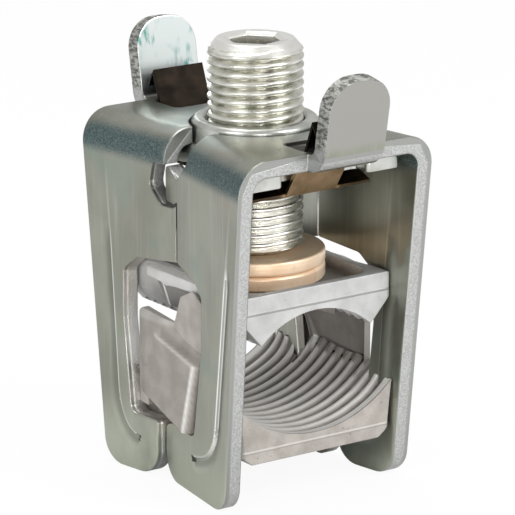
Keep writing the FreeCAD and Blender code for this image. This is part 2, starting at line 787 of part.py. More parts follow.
passage = doc.addObject("PartDesign::Body", "passage")
gate = plane_sketch(passage, "gate_face", "XZ_Plane")
axis_up = "(cup_floor + cup_radius)"
outline(
    gate,
    [
        ("-cheek_inner", "cup_floor + 5.8", None),
        ("cheek_inner", "cup_floor + 5.8", None),
        ("cheek_inner", "saddle_top + 6", None),
        ("-cheek_inner", "saddle_top + 6", None),
    ],
)
pad(passage, "gate", gate, "2 * saddle_half_depth + 4", True)
bowl = doc.addObject("Part::Cylinder", "bowl")
bowl.setExpression("Radius", full("cup_radius"))
bowl.setExpression("Height", full("2 * saddle_half_depth + 4"))
bowl.Placement = FreeCAD.Placement(
    FreeCAD.Vector(0, number("saddle_half_depth + 2"), number(axis_up)),
    FreeCAD.Rotation(FreeCAD.Vector(1, 0, 0), 90),
)
bowl.setExpression("Placement.Base.y", full("saddle_half_depth + 2"))
bowl.setExpression("Placement.Base.z", full(axis_up))
slab = doc.addObject("Part::Box", "bowl_slab")
slab.setExpression("Length", full("2 * cheek_inner"))
slab.setExpression("Width", full("2 * saddle_half_depth + 6"))
slab.setExpression("Height", full("2 * cup_radius"))
slab.setExpression("Placement.Base.x", full("-cheek_inner"))
slab.setExpression("Placement.Base.y", full("-saddle_half_depth - 3"))
bowl_cut = joined("Part::Common", "bowl_cut", bowl, slab)
grooved = doc.addObject("PartDesign::Body", "rib_tools")

lower_gate = joined("Part::Cut", "lower_gate", raw, passage)
lower_open = joined("Part::Cut", "lower_open", lower_gate, bowl_cut)

# Grooves between the ribs of the trough: a row of flat rings
ring_half = plane_sketch(grooved, "ring_half", "YZ_Plane")
start = "(-(rib_count - 1) / 2 * rib_pitch)"
outline(
    ring_half,
    [
        ("%s - rib_pitch * 0.36" % start, "cup_floor + 0.3", None),
        ("%s - rib_pitch * 0.12" % start, "cup_floor - rib_depth", None),
        ("%s + rib_pitch * 0.12" % start, "cup_floor - rib_depth", None),
        ("%s + rib_pitch * 0.36" % start, "cup_floor + 0.3", None),
    ],
)
line = ring_half.GeometryCount
height, span = number(axis_up), number("2 * rib_pitch")
ring_half.addGeometry(
    Part.LineSegment(FreeCAD.Vector(-span, height, 0), FreeCAD.Vector(span, height, 0)), True
)
axis_ends = [
    ("DistanceX", 1, "-2 * rib_pitch"),
    ("DistanceY", 1, axis_up),
    ("DistanceX", 2, "2 * rib_pitch"),
    ("DistanceY", 2, axis_up),
]
for step, (kind, end, size) in enumerate(axis_ends):
    place = ring_half.addConstraint(Sketcher.Constraint(kind, -1, 1, line, end, number(size)))
    ring_half.renameConstraint(place, "axis%d" % step)
    ring_half.setExpression("Constraints.axis%d" % step, full(size))
ring_first = revolve(grooved, "ring_first", ring_half, "PartDesign::Revolution", "Axis0")
doc.recompute()
ring_row = doc.addObject("Part::Feature", "ring_row")
rings = []
for step in range(int(number("rib_count"))):
    copy = grooved.Shape.copy()
    copy.translate(FreeCAD.Vector(0, step * number("rib_pitch"), 0))
    rings.append(copy)
ring_row.Shape = Part.makeCompound(rings)
ring_tool = joined("Part::Common", "ring_tool", ring_row, slab)
lower = joined("Part::Cut", "lower_saddle", lower_open, ring_tool)
lower.Label = "lower_saddle"

doc.recompute()

nodes = [front, rear, nut, spring, screw, upper_disc, lower_disc, upper, lower]
for item in doc.Objects:
    if "Invalid" in item.State or "Error" in item.State:
        raise RuntimeError("%s failed: %s" % (item.Name, item.State))
os.makedirs("parts", exist_ok=True)
for node in nodes:
    shape = node.Shape
    if shape.isNull() or not shape.isValid():
        raise RuntimeError("%s has no valid shape" % node.Label)
    if len(shape.Solids) != 1:
        raise RuntimeError("%s has %d solids" % (node.Label, len(shape.Solids)))
    print(node.Label, "volume %.1f" % shape.Volume, "box", shape.BoundBox)
for node in nodes:
    node.Shape.exportStep("parts/%s.step" % node.Label)
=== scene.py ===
import math

import bmesh
import bpy
import numpy as np
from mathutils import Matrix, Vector


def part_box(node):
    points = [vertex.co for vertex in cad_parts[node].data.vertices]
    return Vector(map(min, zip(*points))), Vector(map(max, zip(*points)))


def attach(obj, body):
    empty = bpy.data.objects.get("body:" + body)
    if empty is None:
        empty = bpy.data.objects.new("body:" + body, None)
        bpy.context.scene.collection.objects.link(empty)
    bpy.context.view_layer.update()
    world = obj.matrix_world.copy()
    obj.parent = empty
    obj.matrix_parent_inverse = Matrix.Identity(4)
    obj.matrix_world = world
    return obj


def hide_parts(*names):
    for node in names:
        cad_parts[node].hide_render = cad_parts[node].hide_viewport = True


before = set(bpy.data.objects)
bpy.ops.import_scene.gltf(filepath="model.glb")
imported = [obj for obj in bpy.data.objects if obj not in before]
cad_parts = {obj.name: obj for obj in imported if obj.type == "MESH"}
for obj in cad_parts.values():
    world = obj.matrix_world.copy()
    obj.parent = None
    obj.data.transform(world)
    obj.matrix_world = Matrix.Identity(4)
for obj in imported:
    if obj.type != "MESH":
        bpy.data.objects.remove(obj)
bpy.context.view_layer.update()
mm = 0.001  # everything below is thought out in millimetres


def clamped(value):
    return min(max(value, 0), 1)


# Shader maths: a wrapped socket, so that masks can be written as plain sums and products
class Value:
    def __init__(self, finish, socket):
        self.finish = finish
        self.socket = socket

    def maths(self, operation, *others):
        return self.finish.node("Math", {"operation": operation}, {i: v for i, v in enumerate((self,) + others)})

    def __add__(self, other): return self.maths("ADD", other)
    def __sub__(self, other): return self.maths("SUBTRACT", other)
    def __mul__(self, other): return self.maths("MULTIPLY", other)
    def __rsub__(self, other): return self.finish.node("Math", {"operation": "SUBTRACT"}, {0: other, 1: self})
    __radd__ = __add__
    __rmul__ = __mul__

    def size(self): return self.maths("ABSOLUTE")
    def least(self, other): return self.maths("MINIMUM", other)
    def most(self, other): return self.maths("MAXIMUM", other)
    def wave(self): return self.maths("SINE")
    def root(self): return self.maths("SQRT")

    # 0 below low, 1 above high, smooth between them
    def rise(self, low, high):
        inputs = {"Value": self, "From Min": low, "From Max": high}
        return self.finish.node("MapRange", {"interpolation_type": "SMOOTHSTEP"}, inputs)


class Finish:
    def __init__(self, name, **constants):
        self.material = bpy.data.materials.new(name)
        self.material.use_nodes = True
        self.tree = self.material.node_tree
        self.shader = self.tree.nodes["Principled BSDF"]
        for socket, value in constants.items():
            self.shader.inputs[socket.replace("_", " ")].default_value = value

    # Any node: its type, its settings, then the values or links of its sockets
    def node(self, kind, settings=None, inputs=None, output=0):
        made = self.tree.nodes.new("ShaderNode" + kind)
        for setting, value in (settings or {}).items():
            setattr(made, setting, value)
        for socket, value in (inputs or {}).items():
            self.give(made.inputs[socket], value)
        return Value(self, made.outputs[output])

    def give(self, socket, value):
        if isinstance(value, Value):
            self.tree.links.new(value.socket, socket)
        elif hasattr(value, "__len__") and len(value) == 3 and socket.type == "RGBA":
            socket.default_value = (*value, 1)
        else:
            socket.default_value = value

    # The place on the piece in millimetres, with each axis stretched as asked
    def place(self, stretch=(1, 1, 1), shift=(0, 0, 0)):
        spot = self.node("TexCoord", output="Object")
        factor = tuple(1000 * s for s in stretch)
        moved = self.node("VectorMath", {"operation": "MULTIPLY"}, {0: spot, 1: factor})
        return self.node("VectorMath", {"operation": "ADD"}, {0: moved, 1: shift})

    def axes(self):
        parted = self.node("SeparateXYZ", inputs={0: self.place()}).socket.node
        return [Value(self, parted.outputs[i]) for i in range(3)]

    # What the mesh carries under this name
    def painted(self, name):
        return self.node("Attribute", {"attribute_name": name}, output="Fac")

    def noise(self, size, detail=3, stretch=(1, 1, 1), roughness=0.5, shift=(0, 0, 0)):
        inputs = {"Vector": self.place(stretch, shift), "Scale": 1 / size, "Detail": detail, "Roughness": roughness}
        return self.node("TexNoise", {}, inputs)

    def mix(self, share, first, second):
        made = self.tree.nodes.new("ShaderNodeMix")
        made.data_type = "RGBA"
        self.give(made.inputs[0], share)
        self.give(made.inputs[6], first)
        self.give(made.inputs[7], second)
        return Value(self, made.outputs[2])

    def bump(self, height, depth):
        return self.node("Bump", {}, {"Height": height, "Distance": depth * mm, "Strength": 1})

    def wear(self, **sockets):
        for socket, value in sockets.items():
            self.give(self.shader.inputs[socket.replace("_", " ")], value)
        return self.material


# ---- Camera, light and floor
print("camera, light and floor")
shot = {
    "turn": 35.14, "rise": 15.9, "distance": 647.9, "aim": (0, 0, 35), "lens": 272.39, "sensor": 36,
    "shift": (0.0043, 0.0182), "near": 0.01, "far": 20,
}
lamps = [
    {"name": "keyLamp", "place": (260, -520, 420), "size": (300, 300), "power": 2.6},
    {"name": "sideLamp", "place": (-620, -160, 300), "size": (300, 420), "power": 1.5},
    {"name": "fillLamp", "place": (-230, -560, 70), "size": (150, 150), "power": 1.1},
    {"name": "topLamp", "place": (0, 120, 620), "size": (420, 300), "power": 1.6},
]
room = {"camera": 1.0, "light": 0.56, "gloss": 0.66}
ground = {"half": 3.0, "paper": 0.86, "white": 0.93}


def aimedAt(thing, target):
    thing.rotation_euler = (Vector(target) - thing.location).to_track_quat("-Z", "Y").to_euler()


def makeCamera(shot):
    turn, rise = math.radians(shot["turn"]), math.radians(shot["rise"])
    back = Vector((-math.sin(turn) * math.cos(rise), -math.cos(turn) * math.cos(rise), math.sin(rise)))
    aim = Vector(shot["aim"]) * mm
    data = bpy.data.cameras.new("view")
    data.lens = shot["lens"]
    data.sensor_width = shot["sensor"]
    data.shift_x, data.shift_y = shot["shift"]
    data.clip_start, data.clip_end = shot["near"], shot["far"]
    camera = bpy.data.objects.new("view", data)
    bpy.context.scene.collection.objects.link(camera)
    camera.location = aim + back * shot["distance"] * mm
    aimedAt(camera, aim)
    bpy.context.scene.camera = camera


def makeLamp(lamp, aim):
    data = bpy.data.lights.new(lamp["name"], "AREA")
    data.shape = "RECTANGLE"
    data.size, data.size_y = lamp["size"][0] * mm, lamp["size"][1] * mm
    data.energy = lamp["power"]
    made = bpy.data.objects.new(lamp["name"], data)
    bpy.context.scene.collection.objects.link(made)
    made.location = Vector(lamp["place"]) * mm
    aimedAt(made, Vector(aim) * mm)


# White for the camera; what a mirror-like surface sees is a little greyer, and the light greyer still
def makeRoom(room):
    world = bpy.data.worlds.new("room")
    bpy.context.scene.world = world
    world.use_nodes = True
    nodes, links = world.node_tree.nodes, world.node_tree.links
    nodes.clear()
    path = nodes.new("ShaderNodeLightPath")
    seen = nodes.new("ShaderNodeMix")
    seen.inputs[2].default_value = room["light"]
    seen.inputs[3].default_value = room["gloss"]
    links.new(path.outputs["Is Glossy Ray"], seen.inputs[0])
    level = nodes.new("ShaderNodeMix")
    level.inputs[3].default_value = room["camera"]
    links.new(path.outputs["Is Camera Ray"], level.inputs[0])
    links.new(seen.outputs[0], level.inputs[2])
    sky = nodes.new("ShaderNodeBackground")
    sky.inputs[0].default_value = (1, 1, 1, 1)
    links.new(level.outputs[0], sky.inputs[1])
    links.new(sky.outputs[0], nodes.new("ShaderNodeOutputWorld").inputs[0])


# Paper that is nearly white for the camera, with only a faint shadow
def makeFloor(ground):
    mesh = bpy.data.meshes.new("floor")
    half = ground["half"]
    mesh.from_pydata([(-half, -half, 0), (half, -half, 0), (half, half, 0), (-half, half, 0)], [], [(0, 1, 2, 3)])
    floor = bpy.data.objects.new("floor", mesh)
    bpy.context.scene.collection.objects.link(floor)
    paper = Finish("paper", Base_Color=(ground["paper"],) * 3 + (1,), Roughness=0.9, Specular_IOR_Level=0.1)
    path = paper.node("LightPath")
    white = paper.node("Emission", {}, {"Color": (1, 1, 1), "Strength": 1.0})
    plain = Value(paper, paper.shader.outputs[0])
    blend = paper.node("MixShader", {}, {0: path * ground["white"], 1: plain, 2: white})
    paper.tree.links.new(blend.socket, paper.tree.nodes["Material Output"].inputs[0])
    mesh.materials.append(paper.material)


makeCamera(shot)
for lamp in lamps:
    makeLamp(lamp, shot["aim"])
makeRoom(room)
makeFloor(ground)
bpy.context.scene.view_settings.view_transform = "Standard"


# ---- Meshes
def newPiece(name, mesh, body, node=None):
    piece = bpy.data.objects.new(name, mesh)
    bpy.context.scene.collection.objects.link(piece)
    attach(piece, body)
    if node:
        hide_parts(node)
    return piece


def opened(mesh):
    form = bmesh.new()
    form.from_mesh(mesh)
    return form


def closed(form, mesh):
    form.to_mesh(mesh)
    form.free()


# A merged copy of a node's loose triangles, flat faces joined again
def copyOf(node, flat=0.3, apart=0.002):
    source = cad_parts[node].data
    points = np.empty(len(source.vertices) * 3, np.float32)
    source.vertices.foreach_get("co", points)
    mesh = bpy.data.meshes.new(node + "_finished")
    mesh.from_pydata(points.reshape(-1, 3), [], [tuple(p.vertices) for p in source.polygons])
    form = opened(mesh)
    bmesh.ops.remove_doubles(form, verts=form.verts, dist=apart * mm)
    bmesh.ops.dissolve_limit(form, angle_limit=math.radians(flat), verts=form.verts, edges=form.edges)
    closed(form, mesh)
    return mesh


# Rounds the edges sharper than the angle, for good
def rounded(piece, width, angle=35, steps=2):
    bevel = piece.modifiers.new("edges", "BEVEL")
    bevel.width = width * mm
    bevel.segments = steps
    bevel.limit_method = "ANGLE"
    bevel.angle_limit = math.radians(angle)
    bevel.use_clamp_overlap = False
    bevel.miter_outer = "MITER_ARC"
    graph = bpy.context.evaluated_depsgraph_get()
    mesh = bpy.data.meshes.new_from_object(piece.evaluated_get(graph))
    piece.modifiers.clear()
    piece.data = mesh


def smooth(piece, angle=32):
    mesh = piece.data
    mesh.polygons.foreach_set("use_smooth", np.ones(len(mesh.polygons), bool))
    mesh.set_sharp_from_angle(angle=math.radians(angle))
    weighted = piece.modifiers.new("normals", "WEIGHTED_NORMAL")
    weighted.keep_sharp = True
    weighted.weight = 80


def dress(piece, material):
    piece.data.materials.clear()
    piece.data.materials.append(material)


# A node's own mesh with rounded edges, smoothed and dressed
def finishNode(node, body, width, material):
    piece = newPiece(node + "_finished", copyOf(node), body, node)
    rounded(piece, width)
    smooth(piece)
    dress(piece, material)


# Cuts the picked faces along planes through each origin
def cutAlong(form, pick, origins, normal):
    for origin in origins:
        faces = [f for f in form.faces if pick(f)]
        edges = {e for f in faces for e in f.edges}
        verts = {v for f in faces for v in f.verts}
        geometry = faces + list(edges) + list(verts)
        bmesh.ops.bisect_plane(form, geom=geometry, plane_co=Vector(origin) * mm, plane_no=normal, dist=1e-7)


# ---- Cage
print("cage")
cage = {"edge": 0.28, "wall": 3.0, "waist": 15.8, "mouth": 19.4, "depth": 23.2, "bend": 5.5, "roof": 60.0}
# Which way the skin faces: bounds of the walls, the roof and the ears, and the share of the normal that makes it skin
skinZones = {
    "wallTop": 54.4, "innerTop": 54.6, "inner": 13.6, "flatRoof": 10, "ear": 60.2, "earMiddle": 60.6, "least": 0.8,
}
# The bead round the window goes down the wall, round the turn and in towards the seam, where it ends in a pit.
# Its paths give (distance from the seam, height). A painted highlight lies on its inner side, a soft band of painted
# shade outside.
bead = {
    "knobPath": [(18.7, 43.5), (16.7, 29.0), (14.6, 14.0), (13.2, 10.2), (11.0, 7.9), (8.2, 6.7), (5.6, 6.2)],
    "recessPath": [(16.7, 43.5), (15.7, 29.0), (14.7, 14.0), (14.1, 10.6), (12.9, 8.0), (11.2, 6.4), (9.2, 5.8)],
    "depth": 0.5, "soft": 2.4, "crisp": 0.45, "fadeIn": 0.06, "fadeOut": 0.05, "endGap": 0.05,
    "lineAt": 0.32, "lineLevel": 1.7, "lineFall": 0.2,
    "band": 0.35, "bandRise": 0.2, "bandLevel": 2.4, "bandFall": 0.6,
    "pitFrom": 0.955, "pitHalf": 0.6, "narrow": 0.4, "pitNarrow": 1.0,
    "wallInner": 10, "wallTop": 48, "wallFacing": 0.9, "seamGap": 2,
    "turnHeight": 14.0, "grid": 0.22, "gridOut": (5.0, 17.4), "gridLow": 3.4,
    "beside": [-0.8, -0.62, -0.5, -0.42, -0.34, -0.25, -0.14, 0, 0.15, 0.3, 0.5, 0.75, 1.05, 1.4, 1.8, 2.2, 2.4],
    "heights": (38.0, 40.0, 41.5, 42.2, 42.9, 43.5),
}


# A smooth line through the given points, as many short steps
def pathThrough(points, steps=24):
    points = np.array(points, float)
    ends = np.vstack([2 * points[0] - points[1], points, 2 * points[-1] - points[-2]])
    t = np.linspace(0, 1, steps, endpoint=False)[:, None]
    runs = []
    for a, b, c, d in zip(ends, ends[1:], ends[2:], ends[3:]):
        bow, twist = 2 * a - 5 * b + 4 * c - d, 3 * b - a - 3 * c + d
        runs.append(0.5 * (2 * b + (c - a) * t + bow * t**2 + twist * t**3))
    return np.vstack(runs + [points[-1:]])


# Depth and painted light of the bead at each (y, z): steep on the side of the window, soft on the side of the edge
def beadDepth(spots, path):
    gap = spots[:, None, :] - path[None, :, :]
    far = np.hypot(gap[..., 0], gap[..., 1])
    nearest = far.argmin(axis=1)
    along = np.gradient(path, axis=0)[nearest]
    offset = gap[np.arange(len(spots)), nearest]
    side = (offset[:, 0] * -along[:, 1] + offset[:, 1] * along[:, 0]) / np.hypot(along[:, 0], along[:, 1])
    soft = np.clip(1 - side / bead["soft"], 0, 1)
    crisp = np.clip(1 + side / bead["crisp"], 0, 1)
    depth = np.where(side > 0, soft**2 * (3 - 2 * soft), crisp**2 * (3 - 2 * crisp))
    share = nearest / (len(path) - 1)
    atEnd = (nearest == 0) | (nearest == len(path) - 1)
    beyond = atEnd & (far.min(axis=1) > np.abs(side) + bead["endGap"])
    fade = np.clip(share / bead["fadeIn"], 0, 1) * np.clip((1 - share) / bead["fadeOut"], 0, 1) * ~beyond
    line = np.clip(bead["lineLevel"] - np.abs(side + bead["lineAt"]) / bead["lineFall"], 0, 1)
    band = np.clip(side / bead["bandRise"], 0, 1) * np.clip(bead["bandLevel"] - side / bead["bandFall"], 0, 1)
    # Painted light: a highlight along the line, less painted shade in the band outside; -1 marks painted shade in the
    # pit
    paintedLight = (line - bead["band"] * band) * fade
    pit = (share > bead["pitFrom"]) & (np.abs(side) < bead["pitHalf"]) & ~beyond
    return depth * fade, np.where(pit, -1, paintedLight)


# Picks one bracket's faces on one outer wall, between two heights
def wallPick(sign, toward, low=-math.inf, high=math.inf):
    def onWall(face):
        middle = face.calc_center_median()
        if middle.x * sign <= 0 or not low * mm < middle.z < high * mm or abs(face.normal.x) <= bead["wallFacing"]:
            return False
        spot = face.calc_center_bounds() / mm
        return abs(spot.x) > bead["wallInner"] and spot.z < bead["wallTop"] and spot.y * toward > bead["seamGap"]

    return onWall


# Above the turn the cuts follow the bead's straight part, below it they make a fine grid
def cutForBead(form, points, sign, toward):
    turn, grid = bead["turnHeight"], bead["grid"]
    upper, lower = wallPick(sign, toward, low=turn), wallPick(sign, toward, high=turn)
    cutAlong(form, wallPick(sign, toward), [(0, 0, turn)], (0, 0, 1))
    (topY, topZ), (lowY, lowZ) = points[0], points[2]
    lean = (0, (topZ - lowZ), -(topY - lowY) * toward)
    cutAlong(form, upper, [(0, (lowY + s) * toward, lowZ) for s in bead["beside"]], lean)
    cutAlong(form, upper, [(0, 0, h) for h in bead["heights"]], (0, 0, 1))
    cutAlong(form, lower, [(0, y * toward, 0) for y in np.arange(*bead["gridOut"], grid)], (0, 1, 0))
    cutAlong(form, lower, [(0, 0, z) for z in np.arange(bead["gridLow"], turn, grid)], (0, 0, 1))


# Sinks the bead into one wall and paints its highlight and shade on it. This painted light is left off where faces
# are broad, as it would run across them.
def pressBead(form, paintedLight, sign, toward):
    points = bead["knobPath" if sign == toward else "recessPath"]
    cutForBead(form, points, sign, toward)
    onWall = wallPick(sign, toward)
    picked = list({v for f in form.faces if onWall(f) for v in f.verts})
    spots = np.array([(v.co.y * toward, v.co.z) for v in picked]) / mm
    depth, shine = beadDepth(spots, pathThrough(points))
    for vert, sunk, bright in zip(picked, depth * bead["depth"] * mm, shine):
        vert.co.x -= sign * sunk
        broad = max(f.calc_area() / f.calc_perimeter() for f in vert.link_faces) / mm
        kept = broad < bead["narrow"] or bright < 0 and broad < bead["pitNarrow"]
        vert[paintedLight] = bright if kept else 0


def outerHalf(y):
    return cage["waist"] + (cage["mouth"] - cage["waist"]) * abs(y) / cage["depth"]


# How far a place lies through the sheet: 0 on its outer skin, 1 on its inner
def depthThrough(spot):
    bend = outerHalf(spot.y) - cage["bend"]
    if spot.z > skinZones["earMiddle"]:
        return 0.5
    if abs(spot.x) < bend:
        deep = cage["roof"] - spot.z
    elif spot.z < cage["roof"] - cage["bend"]:
        deep = outerHalf(spot.y) - abs(spot.x)
    else:
        deep = cage["bend"] - math.hypot(abs(spot.x) - bend, spot.z - cage["roof"] + cage["bend"])
    return clamped(deep / cage["wall"])


# A face was sheared if it doesn't face the way the sheet's skin does there
def isSheared(face):
    spot, normal = face.calc_center_median() / mm, face.normal
    if spot.z > skinZones["ear"]:
        facing = abs(normal.y)
    elif spot.z < skinZones["wallTop"] or abs(spot.x) > skinZones["inner"] and spot.z < skinZones["innerTop"]:
        facing = abs(normal.x)
    elif abs(spot.x) < skinZones["flatRoof"]:
        facing = abs(normal.z)
    else:
        facing = math.hypot(normal.x, normal.z)
    return facing <= skinZones["least"]


def makeBracket(node, toward):
    piece = newPiece(node + "_skin", copyOf(node), "cage", node)
    rounded(piece, cage["edge"])
    form = opened(piece.data)
    paintedLight = form.verts.layers.float.new("paintedLight")
    for sign in (-1, 1):
        pressBead(form, paintedLight, sign, toward)
    through = form.verts.layers.float.new("through")
    for vert in form.verts:
        vert[through] = depthThrough(vert.co / mm)
    sheared = form.faces.layers.float.new("sheared")
    for face in form.faces:
        face[sheared] = 1.0 if isSheared(face) else 0.0
    closed(form, piece.data)
    smooth(piece)
    return piece


# Where a zone of the zinc fades in or out: heights, distances from the middle, or depths through the sheet
zones = {
    "roofFrom": (58.4, 59.8), "roofTo": (60.2, 61.2), "roundScrew": (12, 22),
    "bendFrom": (53.0, 55.2), "bendTo": (57.4, 59.2), "bendSide": (9.5, 11.5),
    "foot": (2, 15), "ear": (60.6, 62.0),
    "jambSide": (13.4, 14.4), "jambTo": (43, 45), "jambFrom": (6, 9),
    "tornFrom": (0.2, 0.36), "tornTo": (0.9, 0.98),
}
zincTones = {
    "plain": ((0.255, 0.258, 0.218), (0.325, 0.335, 0.285)),
    "streak": (0.44, 0.45, 0.42), "green": (0.235, 0.30, 0.26), "warm": (0.36, 0.31, 0.27),
    # roof: painted highlight round the screw, with darker painted reflections
    "roof": ((0.62, 0.62, 0.56), (0.36, 0.39, 0.37)),
    "bend": ((0.05, 0.085, 0.095), (0.14, 0.19, 0.185)), "bendScratch": (0.34, 0.38, 0.37),
    # foot: painted light from the floor; line: the bead's painted highlight; pit: the bead's painted shade
    "foot": (0.50, 0.53, 0.44), "line": (0.92, 0.93, 0.90), "pit": (0.05, 0.055, 0.045),
    "frontEar": (0.34, 0.335, 0.315), "rearEar": ((0.66, 0.71, 0.70), (0.13, 0.36, 0.32)),
    "strip": (0.33, 0.335, 0.32), "torn": ((0.385, 0.39, 0.38), (0.54, 0.545, 0.54)),
    # jamb: painted light on the window's upright edge
    "jamb": ((0.62, 0.59, 0.54), (0.86, 0.85, 0.82)), "earEdge": ((0.13, 0.135, 0.12), (0.50, 0.50, 0.47)),
}


# The sheet's skin: clouded and streaked, with greenish and warm patches, and a painted highlight on the roof round
# the screw
def zincSkin(zinc, axes, clouds, streaks):
    x, y, z = axes
    tones = zincTones
    tint = zinc.mix(clouds.rise(0.35, 0.68), *tones["plain"])
    tint = zinc.mix(streaks.rise(0.5, 0.85) * 0.45, tint, tones["streak"])
    green = zinc.noise(13, detail=2, shift=(7, 3, 1)).rise(0.55, 0.72)
    tint = zinc.mix(green * 0.6, tint, tones["green"])
    warm = zinc.noise(10, detail=2, shift=(1, 9, 4)).rise(0.6, 0.75)
    tint = zinc.mix(warm * 0.35, tint, tones["warm"])
    # Painted highlight on the roof round the screw, clouded with darker painted reflections
    roof = z.rise(*zones["roofFrom"]) * (1 - z.rise(*zones["roofTo"]))
    middle = 1 - (x * x + y * y).root().rise(*zones["roundScrew"])
    return zinc.mix(roof * middle * 0.85, tint, zinc.mix(clouds.rise(0.4, 0.62), *tones["roof"]))


# Sheared edges: a smooth grey strip by the outer skin, then torn bright metal; the window's upright edge is
# brightest, with painted light
def zincCut(zinc, axes, clouds, fine, scratches, torn, ear):
    tones = zincTones
    y, z = axes[1:]
    cut = zinc.mix(torn, tones["strip"], zinc.mix(fine.rise(0.38, 0.62), *tones["torn"]))
    # Painted light on the window's upright sheared edge, which stands in shade
    jamb = 1 - y.size().rise(*zones["jambSide"])
    jamb = jamb * (1 - z.rise(*zones["jambTo"])) * z.rise(*zones["jambFrom"])
    cut = zinc.mix(jamb * 0.8, cut, zinc.mix(clouds.rise(0.4, 0.6), *tones["jamb"]))
    return zinc.mix(ear, cut, zinc.mix(scratches.rise(0.4, 0.6), *tones["earEdge"]))


def zincFinish(name, isRear):
    zinc = Finish(name, Metallic=1.0)
    tones = zincTones
    x, _, z = axes = zinc.axes()
    sheared, through, paintedLight = zinc.painted("sheared"), zinc.painted("through"), zinc.painted("paintedLight")
    clouds = zinc.noise(11, detail=4, stretch=(1, 1, 0.6))
    streaks = zinc.noise(0.8, detail=4, stretch=(1, 1, 0.04))
    scratches = zinc.noise(0.5, detail=4, stretch=(0.35, 0.35, 1), roughness=0.7)
    fine = zinc.noise(0.3, detail=5, roughness=0.65)
    tint = zincSkin(zinc, axes, clouds, streaks)
    # Stretched outside of the bends: rough and dark blue-green
    band = z.rise(*zones["bendFrom"]) * (1 - z.rise(*zones["bendTo"])) * x.size().rise(*zones["bendSide"])
    dark = zinc.mix(fine.rise(0.4, 0.62), *tones["bend"])
    dark = zinc.mix(scratches.rise(0.58, 0.75) * 0.6, dark, tones["bendScratch"])
    tint = zinc.mix(band * clouds.rise(0.2, 0.45) * 0.92, tint, dark)
    # Painted light: the walls lightened towards their feet, where the floor lights them from below
    foot = (1 - z.rise(*zones["foot"])) * (1 - clouds.rise(0.5, 0.7))
    tint = zinc.mix(foot * 0.75, tint, tones["foot"])
    # The bead's painted light: a painted highlight where it is above 0, painted shade in the pit's tone where it is
    # below 0
    tint = zinc.mix((paintedLight * (0.6 + 0.5 * streaks)).most(0).least(1), tint, tones["line"])
    tint = zinc.mix((paintedLight * -1).most(0), tint, tones["pit"])
    # Ears: the front one plain, the rear one bright with blue-green flecks
    ear = z.rise(*zones["ear"])
    flecks = zinc.noise(1.3, detail=4, stretch=(1, 1, 0.35), shift=(3, 0, 0)).rise(0.48, 0.62)
    flecks = flecks * zinc.noise(6, detail=2).rise(0.42, 0.6)
    tint = zinc.mix(ear, tint, zinc.mix(flecks, *tones["rearEar"]) if isRear else tones["frontEar"])
    torn = through.rise(*zones["tornFrom"]) * (1 - through.rise(*zones["tornTo"]))
    colour = zinc.mix(sheared, tint, zincCut(zinc, axes, clouds, fine, scratches, torn, ear))
    raw = sheared * torn
    rough = 0.3 + 0.1 * clouds + 0.12 * raw + 0.14 * band
    height = fine * (0.22 + 1.3 * raw + 0.9 * band) + scratches * (1.3 * raw + 0.7 * band) + streaks * 0.1
    return zinc.wear(Base_Color=colour, Roughness=rough, Normal=zinc.bump(height, 0.06))


# The front bracket lies towards negative y
for node, toward in (("front_bracket", -1), ("rear_bracket", 1)):
    bracket = makeBracket(node, toward)
    dress(bracket, zincFinish(node + "Zinc", toward > 0))


# ---- Nut plate and spring
nutTones = ((0.44, 0.45, 0.41), (0.62, 0.625, 0.60))
springTones = {
    "golden": ((0.19, 0.125, 0.062), (0.33, 0.225, 0.13)),
    # brown: near-black painted shade and dark reflection of the hooks and flaps
    "brown": ((0.006, 0.005, 0.004), (0.016, 0.012, 0.009)),
}
hooks = {"height": (56, 58.6), "side": (5.2, 6.2), "sideShare": 0.8}


def nutFinish():
    bright = Finish("nutZinc", Metallic=1.0)
    cloud = bright.noise(5)
    grain = bright.noise(0.3, detail=4)
    colour = bright.mix(cloud.rise(0.35, 0.7), *nutTones)
    return bright.wear(Base_Color=colour, Roughness=0.25 + 0.15 * cloud, Normal=bright.bump(grain, 0.03))


# Golden under the roof; painted dark reflection and painted shade make the hooks and side flaps nearly black
def springFinish():
    bronze = Finish("springBronze", Metallic=1.0)
    cloud = bronze.noise(4)
    lines = bronze.noise(0.5, stretch=(0.1, 1, 1))
    x, _, z = bronze.axes()
    golden = bronze.mix(cloud.rise(0.3, 0.7), *springTones["golden"])
    brown = bronze.mix(cloud.rise(0.3, 0.7), *springTones["brown"])
    # Painted dark reflection on the hooks and painted shade on the side flaps
    hookAndFlapShade = z.rise(*hooks["height"]).most(x.size().rise(*hooks["side"]) * hooks["sideShare"])
    colour = bronze.mix(hookAndFlapShade, golden, brown)
    return bronze.wear(Base_Color=colour, Roughness=0.3 + 0.12 * lines, Normal=bronze.bump(lines, 0.01))


finishNode("nut_plate", "cage", 0.25, nutFinish())
finishNode("spring_clip", "cage", 0.06, springFinish())


# ---- Screw
print("screw")
screwSizes = {
    "pitch": 1.5, "crest": 8.0, "depth": 0.92, "fullness": 0.75, "around": 180, "perPitch": 14,
    "threadFrom": 0.06, "threadTo": 0.04, "footRadius": 6.7, "footSlope": 1.4, "topRadius": 6.45, "chamfer": 1.75,
    "spigot": 4.0, "flare": 5.2, "seatRadius": 6.6, "tray": 2.2, "counterbore": 0.98, "middle": 0.3,
    "socketFlats": 8.0, "socketDepth": 9.0, "socketTurn": 12,
}
screwTones = {"dark": (0.52, 0.515, 0.455), "light": (0.80, 0.79, 0.73), "ends": (0.95, 0.94, 0.90)}
screwEnds = {"top": (72.2, 72.9), "foot": (46, 50), "share": 0.8}


